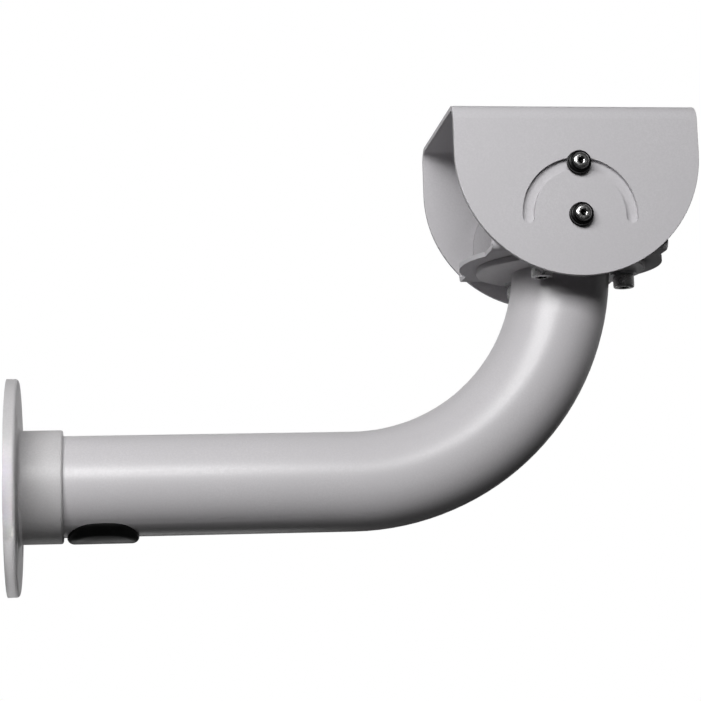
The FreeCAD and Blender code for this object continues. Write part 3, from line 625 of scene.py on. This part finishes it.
def head_rings():
    """Rings of the plug's rounded head, from the tube outwards to its flat middle."""
    levels = [(0.15 * MM, HEAD_GAP), (0.0, 0.25 * MM)]
    for number in range(PLUG_ROUND_STEPS + 1):
        turn = math.pi / 2 * number / PLUG_ROUND_STEPS
        levels.append((PLUG_INSET * (1 - math.cos(turn)),
                       PLUG_DROP - PLUG_ROUND * (1 - math.sin(turn))))
    levels += [(9 * MM, PLUG_DROP), (14 * MM, PLUG_DROP)]
    rings = []
    for inset, height in levels:
        ring = [plug_outline(math.tau * (step + 0.5) / PLUG_SEGMENTS, inset)
                for step in range(PLUG_SEGMENTS)]
        rings.append([(x, y, TUBE_RADIUS + height) for x, y in ring])
    return rings


def make_plug():
    centre = middle("cable_grommet")
    rings = lip_and_neck_rings() + head_rings()
    points = [(centre.x, 0, -LIP_NEAR)]
    for ring in rings:
        points += [(centre.x + x, y, -math.sqrt(level * level - y * y)) for x, y, level in ring]
    points.append((centre.x, 0, -TUBE_RADIUS - PLUG_DROP))
    mesh = bpy.data.meshes.new("entry_plug")
    mesh.from_pydata(points, [], stacked_faces(len(rings), PLUG_SEGMENTS))
    shape = bmesh.new()
    shape.from_mesh(mesh)
    bmesh.ops.recalc_face_normals(shape, faces=shape.faces)
    shape.to_mesh(mesh)
    shape.free()
    smooth(mesh, PLUG_SHARP_EDGE)
    mesh.materials.append(RUBBER)
    plug = bpy.data.objects.new("entry_plug", mesh)
    bpy.context.scene.collection.objects.link(plug)
    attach(plug, "arm")
    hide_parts("cable_grommet")


# Screws and washers in the places of the CAD nodes

TILT_BOLTS = ["pivot_bolt_front", "pivot_bolt_rear", "lock_bolt_front", "lock_bolt_rear"]
TILT_WASHERS = ["pivot_washer_front", "pivot_washer_rear", "lock_washer_front", "lock_washer_rear"]
PAN_BOLTS = ["pan_bolt_1", "pan_bolt_2", "pan_bolt_3"]
# How far each screw was left turned about its own axis, in degrees
TILT_SCREW_TURNS = [8, 41, 23, 55]
PAN_SCREW_TURNS = [12, 37, 50]


def facing(tip, turn=0):
    """The turn of a fastener whose head is tipped about X in radians, then turned by degrees."""
    rotation = Matrix.Rotation(tip, 3, "X") @ Matrix.Rotation(math.radians(turn), 3, "Z")
    return tuple(rotation.to_euler())


def make_tilt_screws():
    places = []
    for name, turn in zip(TILT_BOLTS, TILT_SCREW_TURNS):
        low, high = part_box(name)
        centre = middle(name)
        if name.endswith("front"):
            place = (centre.x, low.y + BUTTON_HEIGHT, centre.z)
            tip = math.pi / 2
        else:
            place = (centre.x, high.y - BUTTON_HEIGHT, centre.z)
            tip = -math.pi / 2
        places.append((place, facing(tip, turn)))
    screws = repeated_piece("tilt_screws", button_screw_mesh(), places, BRIGHT_STEEL)
    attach(screws, "pan_head")
    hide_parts(*TILT_BOLTS)


def make_tilt_washers():
    places = []
    for name in TILT_WASHERS:
        low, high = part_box(name)
        centre = middle(name)
        if name.endswith("front"):
            places.append(((centre.x, high.y, centre.z), facing(math.pi / 2)))
        else:
            places.append(((centre.x, low.y, centre.z), facing(-math.pi / 2)))
    washers = repeated_piece("tilt_washers", washer_stack_mesh(), places, BLACK_STEEL)
    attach(washers, "pan_head")
    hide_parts(*TILT_WASHERS)


def make_pan_screws():
    places = []
    for name, turn in zip(PAN_BOLTS, PAN_SCREW_TURNS):
        low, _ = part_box(name)
        centre = middle(name)
        places.append(((centre.x, centre.y, low.z + CAP_HEIGHT), facing(math.pi, turn)))
    screws = repeated_piece("pan_screws", cap_screw_mesh(), places, CAP_STEEL)
    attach(screws, "arm")
    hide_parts(*PAN_BOLTS)


# Stage and light

FLOOR_DROP = 0.55
FLOOR_HALF_SIZE = 3.0
# Display tone that the floor has for light bouncing off it; the camera sees it as pale paper
FLOOR_BOUNCE = 75
PAPER_TONES = (240, 246)
FLOOR_GLOW = 0.5

BACKGROUND_WHITE = 1.0
WORLD_FILL = 0.02
# In reflections the room is dark in front of the bracket and brighter behind it: the strengths
# on either side, and the Y of the directions between which it changes
MIRRORED_FRONT = 0.05
MIRRORED_BACK = 0.4
MIRRORED_EDGE = (-0.2, 0.6)

# Lamps with their places, sizes in metres and powers in watts. Only the key and the low one are
# mirrored. The strip lies in the plane of the wall plate, below it, and its fan is so narrow that
# it lights little but the rim of the plate.
LAMPS = [
    {"name": "key_softbox", "place": (-0.12, -0.90, 0.50), "target": (0.17, 0.0, 0.06),
     "width": 0.85, "height": 0.33, "power": 12.2},
    {"name": "rim_strip", "place": (0.003, -0.115, -0.17), "target": (0.003, 0.0, 0.0),
     "width": 0.006, "height": 0.17, "power": 0.0021, "mirrored": False, "fan": 3},
    {"name": "back_softbox", "place": (0.05, 1.2, 0.4), "target": (0.2, 0.0, 0.05),
     "width": 0.9, "height": 0.6, "power": 14.0, "mirrored": False},
    {"name": "right_softbox", "place": (1.0, 1.15, 0.35), "target": (0.3, 0.0, 0.08),
     "width": 0.7, "height": 0.6, "power": 7.0, "mirrored": False},
    {"name": "low_back_softbox", "place": (0.02, 0.72, -0.5), "target": (0.12, 0.0, 0.0),
     "width": 0.5, "height": 0.3, "power": 0.45},
]


def make_floor():
    """A wide pale floor below the bracket, which keeps the bracket's shadow."""
    size = FLOOR_HALF_SIZE
    mesh = bpy.data.meshes.new("studio_floor")
    level = cad_low.z - FLOOR_DROP
    centre = (cad_low + cad_high) / 2
    corners = [(-size, -size), (size, -size), (size, size), (-size, size)]
    mesh.from_pydata([(centre.x + x, centre.y + y, level) for x, y in corners], [], [(0, 1, 2, 3)])
    floor = bpy.data.objects.new("studio_floor", mesh)
    bpy.context.scene.collection.objects.link(floor)
    material, tree, shader, place = start_material("studio_paper", {
        "Roughness": 0.9, "Specular IOR Level": 0.1, "Emission Color": grey(255)})
    fibre = new_node(tree, "ShaderNodeTexNoise", {"Scale": 30.0, "Detail": 3.0})
    tree.links.new(place, fibre.inputs["Vector"])
    paper = mix_colours(tree, fibre.outputs["Fac"], *(grey(tone) for tone in PAPER_TONES))
    path = tree.nodes.new("ShaderNodeLightPath")
    dimmed = mix_colours(tree, path.outputs["Is Camera Ray"], grey(FLOOR_BOUNCE), paper)
    tree.links.new(dimmed, shader.inputs["Base Color"])
    glow = spread(tree, path.outputs["Is Camera Ray"], 0.0, FLOOR_GLOW)
    tree.links.new(glow, shader.inputs["Emission Strength"])
    # Seen from below, the floor lets the view through to the bracket's underside
    side = tree.nodes.new("ShaderNodeNewGeometry")
    clear = tree.nodes.new("ShaderNodeBsdfTransparent")
    either = tree.nodes.new("ShaderNodeMixShader")
    output = next(node for node in tree.nodes if node.type == "OUTPUT_MATERIAL")
    tree.links.new(side.outputs["Backfacing"], either.inputs["Fac"])
    tree.links.new(shader.outputs["BSDF"], either.inputs[1])
    tree.links.new(clear.outputs["BSDF"], either.inputs[2])
    tree.links.new(either.outputs["Shader"], output.inputs["Surface"])
    mesh.materials.append(material)


def make_world():
    """White to the camera, a graded room in reflections, and a weak fill for everything else."""
    world = bpy.data.worlds.new("studio_world")
    bpy.context.scene.world = world
    world.use_nodes = True
    tree = world.node_tree
    tree.nodes.clear()
    output = tree.nodes.new("ShaderNodeOutputWorld")
    background = new_node(tree, "ShaderNodeBackground", {"Color": grey(255)})
    path = tree.nodes.new("ShaderNodeLightPath")
    seen = spread(tree, path.outputs["Is Camera Ray"], WORLD_FILL, BACKGROUND_WHITE)
    direction = tree.nodes.new("ShaderNodeTexCoord")
    parts = tree.nodes.new("ShaderNodeSeparateXYZ")
    tree.links.new(direction.outputs["Generated"], parts.inputs["Vector"])
    backdrop = spread(tree, parts.outputs["Y"], MIRRORED_FRONT, MIRRORED_BACK, *MIRRORED_EDGE)
    mirrored = new_node(tree, "ShaderNodeMath", operation="MULTIPLY")
    tree.links.new(path.outputs["Is Glossy Ray"], mirrored.inputs[0])
    tree.links.new(backdrop, mirrored.inputs[1])
    brighter = new_node(tree, "ShaderNodeMath", operation="MAXIMUM")
    tree.links.new(seen, brighter.inputs[0])
    tree.links.new(mirrored.outputs[0], brighter.inputs[1])
    tree.links.new(brighter.outputs[0], background.inputs["Strength"])
    tree.links.new(background.outputs["Background"], output.inputs["Surface"])


def add_softbox(name, place, target, width, height, power, mirrored=True, fan=180):
    """A rectangular lamp that shines towards the target within a fan of so many degrees."""
    data = bpy.data.lights.new(name, "AREA")
    data.shape = "RECTANGLE"
    data.size = width
    data.size_y = height
    data.energy = power
    data.spread = math.radians(fan)
    lamp = bpy.data.objects.new(name, data)
    bpy.context.scene.collection.objects.link(lamp)
    aim = (Vector(target) - Vector(place)).to_track_quat("-Z", "Y")
    lamp.matrix_world = Matrix.Translation(place) @ aim.to_matrix().to_4x4()
    lamp.visible_glossy = mirrored
    lamp.visible_camera = False


make_camera()
make_floor()
make_world()
for lamp_settings in LAMPS:
    add_softbox(**lamp_settings)
paint_cad_nodes()
make_plug()
make_tilt_screws()
make_tilt_washers()
make_pan_screws()

bpy.context.scene.view_settings.view_transform = "Standard"
